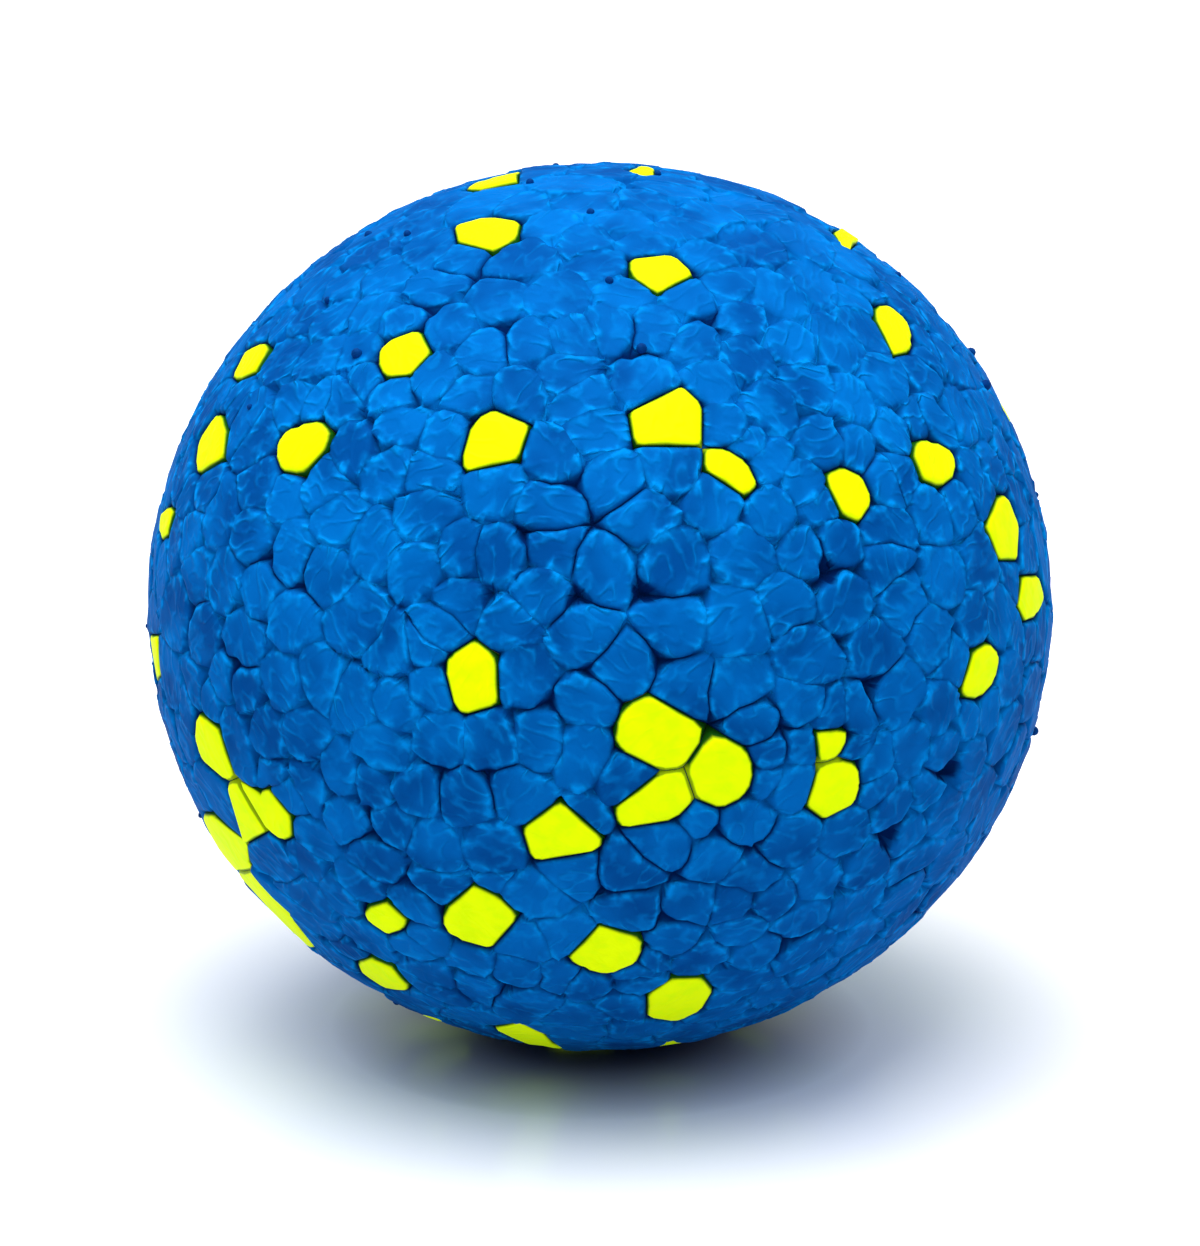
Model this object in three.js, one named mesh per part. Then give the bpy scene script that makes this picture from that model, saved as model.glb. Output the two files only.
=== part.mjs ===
// A dog chew ball moulded from expanded foam beads. Steam fuses hundreds of deep blue
// beads into one springy body, with bright yellow beads scattered among them. The fused
// blue beads are one solid with a pocket for each yellow bead, and each yellow bead is
// a solid of its own. Millimetres, +Z up, with the origin at the centre of the ball.

import * as THREE from 'three';
import { ConvexGeometry } from 'three/addons/geometries/ConvexGeometry.js';
import { ConvexHull } from 'three/addons/math/ConvexHull.js';

// The ball and its beads
const ball_diameter = 65;
const ball_height = 63.7;
const bead_spacing = 4.05;
const groove_depth = 0.45;

// The pockets in the blue body and the yellow beads that sit in them
const pocket_depth = 3.6;
const bead_gap = 0.3;
const unseen_bead_width = 4.9;

// Shares: how much beads differ in size, how far a pocket narrows, what part of its
// spacing squared a bead covers, and how close beads lie
const bead_size_spread = 0.4;
const pocket_taper = 0.62;
const bead_cover = 0.87;
const closest_bead = 0.82;
const corner_sway = 0.5;

// Counts for the layout
const yellow_spiral_beads = 44;
const fewest_bead_corners = 5;
const most_bead_corners = 7;
const settle_rounds = 2;
const tries_per_bead = 60;
const bead_seed = 7;

// The view that the bead outlines are drawn in: from the front and a little above.
// Its points and sizes are pixels, and it is seen from a distance of so many radii.
const view_elevation = THREE.MathUtils.degToRad(16);
const view_distance = 12.3;
const view_centre = [600.7, 606];
const view_radius = 452;
const view_half_height = 443;
const view_edge_drop = 3;

// Sizes of the layout in that view, so that it stays as drawn at any size of ball
const seen_bead_width = 45;
const closest_neighbour = 14;
const closest_seen_bead = 31;
const neighbour_offset = 17;
const shortest_bead_edge = 5.6;
const smallest_bead_area = 680;
const unseen_side_depth = 120;

// Corners of each yellow bead that the view shows
const seen_yellow_beads = [
  [[466, 190], [478, 176], [508, 160], [520, 163], [519, 182], [498, 185], [480, 192]],
  [[454, 227], [490, 216], [523, 221], [519, 239], [494, 252], [457, 243]],
  [[231, 376], [244, 351], [266, 341], [272, 348], [258, 373], [237, 382]],
  [[375, 359], [385, 341], [421, 328], [433, 352], [411, 375], [384, 378]],
  [[194, 469], [198, 440], [214, 417], [225, 418], [229, 431], [226, 459], [199, 475]],
  [[274, 452], [281, 434], [298, 423], [323, 420], [334, 432], [328, 450], [304, 476], [281, 472]],
  [[472, 419], [494, 408], [532, 424], [520, 461], [465, 472], [460, 462]],
  [[160, 530], [163, 514], [171, 504], [175, 510], [168, 536], [162, 542]],
  [[627, 171], [641, 167], [656, 169], [656, 175], [640, 176]],
  [[629, 258], [674, 254], [693, 274], [658, 294], [629, 274]],
  [[833, 232], [840, 229], [859, 242], [857, 246], [843, 245]],
  [[875, 305], [889, 304], [909, 321], [916, 342], [911, 353], [895, 355], [875, 318]],
  [[628, 412], [683, 385], [704, 404], [701, 443], [636, 442]],
  [[706, 450], [733, 451], [749, 461], [760, 486], [747, 498], [706, 471]],
  [[827, 472], [843, 465], [864, 475], [875, 502], [860, 524], [843, 517], [828, 484]],
  [[915, 440], [933, 438], [957, 452], [959, 475], [941, 489], [922, 481], [912, 456]],
  [[985, 526], [998, 493], [1008, 495], [1019, 522], [1018, 561], [1000, 561]],
  [[1018, 607], [1023, 575], [1039, 574], [1044, 597], [1037, 618], [1024, 622]],
  [[988, 379], [1001, 382], [1022, 418], [1018, 426], [1004, 411]],
  [[1046, 544], [1054, 543], [1060, 560], [1056, 570], [1049, 566]],
  [[146, 634], [160, 635], [162, 676], [152, 684], [146, 664]],
  [[443, 665], [450, 654], [475, 638], [498, 655], [500, 706], [465, 716], [455, 710]],
  [[195, 736], [197, 713], [203, 713], [220, 727], [230, 750], [231, 772], [222, 784], [201, 759]],
  [[224, 784], [233, 777], [254, 792], [258, 838], [252, 845], [240, 830], [227, 806]],
  [[255, 792], [261, 787], [280, 802], [293, 817], [294, 838], [287, 841], [260, 838]],
  [[204, 812], [213, 813], [238, 841], [246, 868], [238, 873], [218, 852]],
  [[245, 886], [250, 876], [267, 883], [290, 912], [318, 948], [310, 954], [285, 944], [262, 917]],
  [[364, 919], [365, 906], [388, 900], [410, 921], [405, 931], [388, 936]],
  [[445, 908], [474, 884], [500, 896], [521, 917], [503, 938], [484, 948], [460, 941], [446, 926]],
  [[356, 962], [370, 957], [395, 967], [412, 987], [408, 992], [384, 990], [362, 976]],
  [[418, 1012], [441, 1019], [444, 1031], [430, 1028]],
  [[501, 1027], [520, 1024], [545, 1034], [566, 1049], [527, 1047], [506, 1036]],
  [[521, 829], [561, 799], [602, 835], [599, 851], [543, 862], [530, 858]],
  [[961, 690], [973, 650], [989, 640], [1002, 654], [997, 682], [980, 701], [963, 698]],
  [[613, 730], [624, 705], [649, 693], [707, 725], [703, 744], [684, 764], [660, 771], [616, 749]],
  [[694, 776], [707, 754], [737, 742], [748, 748], [757, 769], [750, 797], [727, 808], [699, 797]],
  [[618, 813], [641, 794], [660, 771], [686, 772], [697, 786], [698, 798], [677, 821], [622, 826]],
  [[816, 731], [846, 728], [852, 735], [846, 747], [818, 752]],
  [[819, 752], [846, 747], [860, 764], [862, 785], [856, 804], [824, 821], [806, 808]],
  [[566, 960], [583, 943], [604, 926], [642, 936], [646, 946], [638, 963], [608, 976], [583, 970]],
  [[647, 1019], [647, 995], [673, 978], [704, 977], [715, 990], [703, 1010], [678, 1022]],
  [[652, 1050], [671, 1041], [690, 1048], [672, 1058]],
  [[776, 1034], [800, 1014], [826, 1004], [822, 1020], [796, 1042]],
];

// Middles of the blue beads that stand out best in the same view
const seen_blue_beads = [
  [521, 390], [530, 342], [563, 372], [558, 298], [610, 325], [585, 402], [568, 446],
  [432, 446], [395, 428], [388, 468], [427, 503], [497, 492], [547, 505], [574, 510],
  [612, 480], [552, 549], [500, 558], [459, 555], [422, 568], [458, 600], [537, 593],
  [607, 568], [642, 520], [667, 467], [722, 515], [750, 552], [806, 551], [806, 490],
  [775, 455], [768, 408], [811, 422], [672, 562], [738, 622], [673, 625], [690, 678],
  [742, 690], [618, 668], [594, 712], [784, 738], [628, 783], [583, 765], [533, 702],
  [415, 695], [437, 748], [477, 752], [414, 792], [468, 800], [522, 790], [395, 650],
  [447, 622], [432, 845], [357, 703], [303, 735], [340, 775], [283, 685], [318, 680],
  [245, 690], [912, 752], [947, 738], [942, 812], [873, 735], [935, 635], [898, 692],
  [948, 672], [752, 879], [815, 880], [871, 862], [692, 908], [648, 862], [628, 903],
  [700, 848], [716, 946], [665, 950], [572, 888], [562, 923], [478, 985], [655, 372],
  [745, 318], [775, 300], [745, 360], [698, 345], [905, 600], [848, 570], [888, 565],
];

const radius = ball_diameter / 2;
const bead_angle = bead_spacing / radius;
const bead_count = Math.round(4 * Math.PI / (bead_cover * bead_angle ** 2));
const neighbour_steps = [1, 0.85, 0.7, 0.55, 0.4];
const corner_slack = 1e-6;
const shared_edge_slack = 0.001;

const blue_foam = { color: 0x0a5fb4, roughness: 0.62, metalness: 0 };
const yellow_foam = { color: 0xe6f500, roughness: 0.6, metalness: 0 };

const viewAngle = (pixels) => pixels / view_radius;

// The point of the ball in a direction, at a depth under the skin. Directions are
// points of a round ball of radius 1, which the low moulded ball stretches from.
function ballPoint(direction, depth = 0) {
  const point = direction.clone().multiply(new THREE.Vector3(radius, radius, ball_height / 2));
  return point.setLength(point.length() - depth);
}

// The direction of a point of the view. Past the outline it goes on round the back.
const view_right = new THREE.Vector3(1, 0, 0);
const view_up = new THREE.Vector3(0, Math.sin(view_elevation), Math.cos(view_elevation));
const view_back = new THREE.Vector3(0, Math.cos(view_elevation), -Math.sin(view_elevation));
function seenDirection([right, down]) {
  const flat = new THREE.Vector3(1, 1, view_half_height / view_radius);
  const eye = view_back.clone().multiplyScalar(-view_distance).divide(flat);
  const ray = view_right.clone().multiplyScalar(viewAngle(right - view_centre[0]))
    .addScaledVector(view_up, viewAngle(view_centre[1] - down))
    .divide(flat).sub(eye).normalize();
  const nearest = eye.clone().addScaledVector(ray, -eye.dot(ray));
  const seen_radius = 1 - viewAngle(view_edge_drop);
  const past = nearest.length() / seen_radius - 1;
  if (past < 0) {
    const depth = Math.sqrt(seen_radius ** 2 - nearest.lengthSq());
    return nearest.addScaledVector(ray, -depth).normalize();
  }
  return nearest.setLength(Math.cos(past)).addScaledVector(ray, Math.sin(past));
}

// A level axis and a rising one at a bead, and the way between them and the ball
function beadAxes(middle) {
  const level = new THREE.Vector3(0, 0, 1).cross(middle).normalize();
  return [level, middle.clone().cross(level)];
}

function flatten(middle, direction) {
  const [level, rising] = beadAxes(middle);
  const near = direction.dot(middle);
  return new THREE.Vector2(direction.dot(level) / near, direction.dot(rising) / near);
}

function unflatten(middle, spot) {
  const [level, rising] = beadAxes(middle);
  return middle.clone().addScaledVector(level, spot.x).addScaledVector(rising, spot.y).normalize();
}

function meanDirection(directions) {
  return directions.reduce((sum, direction) => sum.add(direction), new THREE.Vector3()).normalize();
}

// Every bead has a point, at or just past the round ball of radius 1, and owns the
// patch of ball in whose directions its point reaches furthest out. Beads whose points
// are equally far out meet midway, and a bead with a longer point takes more room.
function makeBead(point) {
  return { point, size: viewAngle(seen_bead_width), fixed: true };
}

// A wide yellow bead has the longer point that keeps its neighbours' points their
// offset away from its outline
function makeYellowBead(corners) {
  const middle = meanDirection(corners);
  const edges = corners.map((corner, index) => (
    makeEdge(middle, corner, corners[(index + 1) % corners.length])));
  const nearest = Math.min(...edges.map(({ outward }) => -middle.dot(outward)));
  const push = Math.max(0, nearest ** 2 - viewAngle(neighbour_offset) ** 2) / 2;
  return { ...makeBead(middle.multiplyScalar(1 + push)), corners, edges, yellow: true };
}

// An edge's halfway direction, and its outward way, square to the edge and the ball's radius
function makeEdge(middle, corner, next) {
  const normal = corner.clone().cross(next).normalize();
  const outward = normal.dot(middle) > 0 ? normal.negate() : normal;
  return { halfway: meanDirection([corner, next]), outward };
}

// The point of the neighbour that meets an outlined bead along one of its edges lies
// straight across that edge. A shorter step leaves more room for what lies beyond.
function pointAcross(bead, outward, step) {
  const inside = -bead.point.dot(outward);
  const along = bead.point.lengthSq() - inside ** 2;
  const across = inside + Math.sqrt(Math.max(0, 1 - along));
  return bead.point.clone().addScaledVector(outward, step * across);
}

// Outlines of yellow beads on the side that the view doesn't show. They lie on a spiral
// from pole to pole, and each has a few corners at uneven places round its middle.
function unseenOutlines() {
  const golden_turn = Math.PI * (3 - Math.sqrt(5));
  const outlines = [];
  for (let index = 0; index < yellow_spiral_beads; index += 1) {
    const height = 1 - (2 * index + 1) / yellow_spiral_beads;
    const out = Math.sqrt(1 - height ** 2);
    const turn = golden_turn * index;
    const middle = new THREE.Vector3(out * Math.cos(turn), out * Math.sin(turn), height);
    if (middle.dot(view_back) > viewAngle(unseen_side_depth)) {
      outlines.push(unevenOutline(middle));
    }
  }
  return outlines;
}

function unevenOutline(middle) {
  const spare_corners = most_bead_corners - fewest_bead_corners;
  const corner_count = fewest_bead_corners + Math.round(spare_corners * THREE.MathUtils.seededRandom());
  const outline = [];
  for (let corner = 0; corner < corner_count; corner += 1) {
    const turn = 2 * Math.PI * (corner + corner_sway * THREE.MathUtils.seededRandom()) / corner_count;
    const reach = unseen_bead_width / ball_diameter;
    const spot = new THREE.Vector2(reach * Math.cos(turn), reach * Math.sin(turn));
    outline.push(unflatten(middle, spot));
  }
  return outline;
}

function clearOfBeads(point, beads, distance) {
  return beads.every((bead) => bead.point.angleTo(point) > distance(bead));
}

// How far out the outlined beads reach at each of their corners
function heldCorners(outlined) {
  return outlined.flatMap((bead) => bead.corners).map((corner) => (
    { corner, reach: Math.max(...outlined.map((bead) => corner.dot(bead.point))) }));
}

// A bead placed later may not cut a corner off an outlined one
function clearOfCorners(point, held) {
  return held.every(({ corner, reach }) => corner.dot(point) < reach + corner_slack);
}

// Where two outlined beads touch they share the edge, and no blue bead goes between
function placeNeighbours(beads, outlined, held) {
  for (const bead of outlined) {
    for (const { halfway, outward } of bead.edges) {
      const limit = halfway.dot(bead.point) - shared_edge_slack;
      if (outlined.some((other) => other !== bead && halfway.dot(other.point) > limit)) {
        continue;
      }
      const points = neighbour_steps.map((step) => pointAcross(bead, outward, step));
      const point = points.find((each) => clearOfCorners(each, held));
      if (point && clearOfBeads(point, beads, () => viewAngle(closest_neighbour))) {
        beads.push(makeBead(point));
      }
    }
  }
}

// A point anywhere on the ball, each part of it as likely as the next
function randomPoint() {
  const height = 2 * THREE.MathUtils.seededRandom() - 1;
  const turn = 2 * Math.PI * THREE.MathUtils.seededRandom();
  return new THREE.Vector3().setFromSphericalCoords(1, Math.acos(height), turn);
}

function placeBeads() {
  THREE.MathUtils.seededRandom(bead_seed);
  const seen_outlines = seen_yellow_beads.map((outline) => outline.map(seenDirection));
  const outlined = [...seen_outlines, ...unseenOutlines()].map(makeYellowBead);
  const held = heldCorners(outlined);
  const beads = [...outlined];
  placeNeighbours(beads, outlined, held);
  for (const point of seen_blue_beads.map(seenDirection)) {
    const apart = () => viewAngle(closest_seen_bead);
    if (clearOfBeads(point, beads, apart) && clearOfCorners(point, held)) {
      beads.push(makeBead(point));
    }
  }
  for (let tries = 0; beads.length < bead_count && tries < tries_per_bead * bead_count; tries += 1) {
    const spread = bead_size_spread * (2 * THREE.MathUtils.seededRandom() - 1);
    const size = bead_angle * (1 + spread);
    const point = randomPoint();
    const apart = (bead) => closest_bead * (size + bead.size) / 2;
    if (clearOfBeads(point, beads, apart) && clearOfCorners(point, held)) {
      beads.push({ point, size });
    }
  }
  return { beads, held };
}

// Fills in the corners of every bead, in order round it seen from outside. The
// triangles of the hull round all points join three neighbours, and their outward
// normals show where the three beads meet.
function findCorners(beads) {
  const hull = new ConvexHull().setFromPoints(beads.map((bead) => bead.point));
  const owners = new Map(beads.map((bead) => [bead.point, bead]));
  const corners = [];
  for (const bead of beads) {
    bead.cell = [];
  }
  for (const face of hull.faces) {
    const close = (corner) => corner.angleTo(face.normal) < viewAngle(shortest_bead_edge);
    let corner = corners.find(close);
    if (!corner) {
      corner = face.normal.clone();
      corners.push(corner);
    }
    let edge = face.edge;
    do {
      const bead = owners.get(edge.head().point);
      if (!bead.cell.includes(corner)) {
        bead.cell.push(corner);
      }
      edge = edge.next;
    } while (edge !== face.edge);
  }
  for (const bead of beads.filter((each) => each.cell.length > 2)) {
    bead.middle = meanDirection(bead.cell);
    const turn = (corner) => flatten(bead.middle, corner).angle();
    bead.cell.sort((one, other) => turn(one) - turn(other));
  }
}

// The area of a bead's patch in the view's pixels, were it in the middle of the view
function cellArea({ middle, cell }) {
  return view_radius ** 2 * THREE.ShapeUtils.area(cell.map((corner) => flatten(middle, corner)));
}

// Moves each bead that isn't fixed to the middle of its patch, which evens them out,
// and leaves out blue beads that are squeezed to a sliver
function settleBeads({ beads, held }) {
  let settled = beads;
  for (let round = 0; round < settle_rounds; round += 1) {
    findCorners(settled);
    settled = settled.filter((bead) => bead.cell.length > 2
      && (bead.yellow || cellArea(bead) > smallest_bead_area));
    for (const bead of settled.filter((each) => !each.fixed)) {
      if (clearOfCorners(bead.middle, held)) {
        bead.point = bead.middle;
      }
    }
  }
  findCorners(settled);
  return settled;
}

function pushTriangle(positions, ...points) {
  for (const point of points) {
    positions.push(point.x, point.y, point.z);
  }
}

function closedGeometry(positions) {
  const geometry = new THREE.BufferGeometry();
  geometry.setAttribute('position', new THREE.Float32BufferAttribute(positions, 3));
  geometry.computeVertexNormals();
  return geometry;
}

// The blue body: a low dome on each blue bead and a tapered pocket under each yellow one
function blueBodyGeometry(beads) {
  const positions = [];
  for (const { middle, cell, yellow } of beads) {
    const rim = cell.map((corner) => ballPoint(corner, groove_depth));
    const floor = cell.map((corner) => ballPoint(
      middle.clone().lerp(corner, pocket_taper).normalize(), pocket_depth));
    const tip = ballPoint(middle, yellow ? pocket_depth : 0);
    for (let index = 0; index < cell.length; index += 1) {
      const next = (index + 1) % cell.length;
      if (yellow) {
        pushTriangle(positions, rim[index], rim[next], floor[next]);
        pushTriangle(positions, rim[index], floor[next], floor[index]);
        pushTriangle(positions, floor[index], floor[next], tip);
      } else {
        pushTriangle(positions, rim[index], rim[next], tip);
      }
    }
  }
  return closedGeometry(positions);
}

// The part of an outline that lies a distance inside all its edges
function insetOutline(outline, distance) {
  let inside = outline;
  outline.forEach((start, index) => {
    const end = outline[(index + 1) % outline.length];
    const inward = new THREE.Vector2(start.y - end.y, end.x - start.x).normalize();
    const depthOf = (spot) => spot.clone().sub(start).dot(inward) - distance;
    inside = inside.flatMap((spot, place) => {
      const next = inside[(place + 1) % inside.length];
      const [here, there] = [depthOf(spot), depthOf(next)];
      const kept = here >= 0 ? [spot] : [];
      if (here * there < 0) {
        kept.push(spot.clone().lerp(next, here / (here - there)));
      }
      return kept;
    });
  });
  return inside;
}

// A yellow bead: a domed plug that fills its pocket up to the gap round it
function yellowBeadGeometry({ middle, cell }) {
  const outline = cell.map((corner) => flatten(middle, corner));
  const base = outline.map((spot) => spot.clone().multiplyScalar(pocket_taper));
  const rim = insetOutline(outline, bead_gap / (radius - groove_depth))
    .map((spot) => ballPoint(unflatten(middle, spot), groove_depth));
  const bottom = insetOutline(base, bead_gap / (radius - pocket_depth))
    .map((spot) => ballPoint(unflatten(middle, spot), pocket_depth - bead_gap));
  return new ConvexGeometry([...rim, ...bottom, ballPoint(middle)]);
}

function addPiece(ball, name, geometry, look) {
  const piece = new THREE.Mesh(geometry, new THREE.MeshStandardMaterial(look));
  piece.name = name;
  ball.add(piece);
}

const beads = settleBeads(placeBeads());

const ball = new THREE.Group();
addPiece(ball, 'blue_bead_body', blueBodyGeometry(beads), blue_foam);
beads.filter((bead) => bead.yellow).forEach((bead, index) => {
  const name = `yellow_bead_${String(index + 1).padStart(2, '0')}`;
  addPiece(ball, name, yellowBeadGeometry(bead), yellow_foam);
});

export default ball;
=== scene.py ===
import math
import random

import bmesh
import bpy
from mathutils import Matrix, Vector, noise


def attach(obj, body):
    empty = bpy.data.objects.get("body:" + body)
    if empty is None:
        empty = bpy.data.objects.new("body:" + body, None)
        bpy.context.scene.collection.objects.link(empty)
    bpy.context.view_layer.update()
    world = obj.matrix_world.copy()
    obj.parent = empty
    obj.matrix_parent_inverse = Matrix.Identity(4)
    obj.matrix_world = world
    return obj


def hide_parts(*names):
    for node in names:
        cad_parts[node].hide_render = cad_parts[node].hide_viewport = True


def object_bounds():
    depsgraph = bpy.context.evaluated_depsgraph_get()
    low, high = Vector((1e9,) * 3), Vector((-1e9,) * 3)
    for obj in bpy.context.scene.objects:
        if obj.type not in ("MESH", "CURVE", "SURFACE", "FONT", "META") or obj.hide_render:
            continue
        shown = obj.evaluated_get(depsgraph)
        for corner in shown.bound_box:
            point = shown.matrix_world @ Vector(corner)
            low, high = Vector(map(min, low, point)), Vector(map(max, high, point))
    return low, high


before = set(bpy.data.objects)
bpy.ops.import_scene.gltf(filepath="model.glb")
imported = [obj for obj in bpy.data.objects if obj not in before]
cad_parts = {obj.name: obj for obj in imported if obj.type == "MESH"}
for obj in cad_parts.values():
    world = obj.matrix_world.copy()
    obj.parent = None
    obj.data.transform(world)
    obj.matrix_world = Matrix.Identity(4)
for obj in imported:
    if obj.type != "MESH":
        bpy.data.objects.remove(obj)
cad_low, cad_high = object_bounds()

# The layout of the beads
# Foam beads fill the mould and swell in steam until they meet, so that each has a few
# flat sides. The frame's blue body has a tip on each blue bead and a pocket for each
# yellow one. Without the tips and pockets, one flat face is left for each bead.
ball_radius = 0.0325
ball_half_height = 0.03185
frame_groove_depth = 0.00045
groove_margin = frame_groove_depth / 4
photo_ball_middle = (600.7, 606)
photo_ball_radius = 452
view_elevation = math.radians(16)
view_distance = 12.3 * ball_radius
pixels_across = photo_ball_radius * view_distance / ball_radius
front = Vector((0, -math.cos(view_elevation), math.sin(view_elevation)))
upward = Vector((0, math.sin(view_elevation), math.cos(view_elevation)))
same_place = 1e-6

# Corners of the yellow beads at the lower left: the frame's place, then the photograph's
moved_corners = [
    ((245, 774), (234, 780)), ((249, 773), (255, 792)), ((282, 800), (266, 789)),
    ((265, 828), (266, 834)), ((223, 780), (224, 784)), ((259, 864), (243, 847)),
    ((240, 839), (241, 844)), ((266, 873), (246, 867)), ((267, 878), (249, 873)),
]


def seen_at(pixel):
    """The point on the ball's skin that shows at a place in the photograph"""
    right = (pixel[0] - photo_ball_middle[0]) / pixels_across
    up = (photo_ball_middle[1] - pixel[1]) / pixels_across
    ray = (Vector((right, 0, 0)) + upward * up - front).normalized()
    start = front * view_distance
    nearest = -start.dot(ray)
    across = (start + ray * nearest).length
    return start + ray * (nearest - math.sqrt(max(ball_radius ** 2 - across ** 2, 0)))


def pixel_of(point):
    """Where a point of the ball shows in the photograph"""
    scale = pixels_across / (view_distance - point.dot(front))
    return (photo_ball_middle[0] + scale * point.x,
            photo_ball_middle[1] - scale * point.dot(upward))


def corner_at(pixel, corners):
    """The corner that shows nearest to a place in the photograph"""
    facing = [corner for corner in corners if corner.co.dot(front) > 0]
    return min(facing, key=lambda corner: math.dist(pixel_of(corner.co), pixel))


def depth_under_skin(point):
    """How far a point lies inside the slightly flattened ball, along its own radius"""
    across = math.hypot(point.x, point.y) / ball_radius
    along = point.z / ball_half_height
    return point.length * (1 / math.hypot(across, along) - 1)


def bead_faces():
    """One flat face for each bead, with its corners at the depth of the frame's grooves"""
    mesh = bmesh.new()
    mesh.from_mesh(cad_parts["blue_bead_body"].data)
    bmesh.ops.remove_doubles(mesh, verts=mesh.verts, dist=same_place)
    off_groove = [vert for vert in mesh.verts
                  if abs(depth_under_skin(vert.co) - frame_groove_depth) > groove_margin]
    bmesh.ops.dissolve_verts(mesh, verts=off_groove)
    moved = [(corner_at(pixel, mesh.verts), target) for pixel, target in moved_corners]
    for corner, target in moved:
        corner.co = seen_at(target).normalized() * corner.co.length
    mesh.faces.ensure_lookup_table()
    return mesh


beads = bead_faces()
bead_middles = [face.calc_center_median_weighted() for face in beads.faces]

# Which beads are yellow
# One bead in ten or so is moulded in neon yellow. The frame has a solid for most of
# them, and the side away from the front gets the rest, in the same loose scatter.
more_yellow_beads = 26
yellow_spacing = 0.0062
behind_front = -0.004
scatter_seed = 4


def mesh_middle(mesh):
    total = Vector()
    for vert in mesh.vertices:
        total += vert.co
    return total / len(mesh.vertices)


yellow_bead_of_node = {}
for name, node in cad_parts.items():
    if name.startswith("yellow_bead"):
        middle = mesh_middle(node.data)
        yellow_bead_of_node[name] = min(
            range(len(bead_middles)), key=lambda index: bead_middles[index].angle(middle))

yellow_beads = dict(yellow_bead_of_node)
scatter = random.Random(scatter_seed)
candidates = [
    index for index, middle in enumerate(bead_middles) if middle.dot(front) < behind_front]
scatter.shuffle(candidates)
for index in candidates:
    taken = [bead_middles[other] for other in yellow_beads.values()]
    if all((bead_middles[index] - other).length > yellow_spacing for other in taken):
        yellow_beads[f"yellow_bead_{len(yellow_beads) + 1}"] = index
    if len(yellow_beads) == len(yellow_bead_of_node) + more_yellow_beads:
        break

# The corners of the beads
# A bead keeps a round corner where steam hasn't pressed it right into the gap between
# its neighbours. Large gaps are left as pits, which the blue material darkens with
# painted shade. Where steam has welded two beads well, which it does in patches and
# near the smooth top, the groove between them fades, in depth and in its painted shade.
small_rounding = (0.0004, 0.0012)
large_rounding = (0.0011, 0.0015)
large_rounding_share = 0.03
yellow_rounding = (0.0002, 0.0007)
round_share = 0.3
open_round_share = 0.38
farthest_cut = 0.8
side_bow = 0.1
weld = (0.1, 1.0)
weld_skew = 1.2
weld_patch = 0.008
weld_patch_middle = 0.6
weld_patch_contrast = 1.2
faint_weld = 0.35
yellow_to_yellow_weld = 0.7
smooth_top = (0.018, 0.029)
smooth_top_weld = 0.35
corner_seed = 11

# Where the photograph has an open pit, and how round it is in millimetres
open_corners = [
    (938, 765, 2.3), (885, 826, 1.9), (838, 592, 1.7), (632, 600, 1.6), (578, 612, 1.2),
    (570, 705, 1.0), (651, 665, 1.1), (866, 657, 1.3), (768, 738, 0.9), (533, 515, 1.0),
    (573, 483, 0.9), (597, 525, 0.9), (275, 560, 1.0), (318, 568, 0.8), (495, 277, 0.8),
    (505, 330, 0.9), (438, 298, 0.9), (642, 346, 0.9), (713, 318, 0.9), (183, 615, 0.8),
    (238, 655, 0.9), (376, 843, 1.0), (412, 888, 0.9), (509, 972, 1.2), (650, 921, 0.9),
    (695, 873, 0.9), (725, 852, 0.8), (618, 877, 0.8), (790, 945, 1.0), (770, 845, 0.8),
    (937, 858, 1.1), (906, 908, 1.1), (481, 775, 0.8), (434, 775, 0.8), (586, 690, 0.8),
    (707, 726, 1.2),
]


def is_corner(vert):
    return len(vert.link_edges) > 2


def other_ends(vert):
    return [edge.other_vert(vert) for edge in vert.link_edges]


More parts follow.
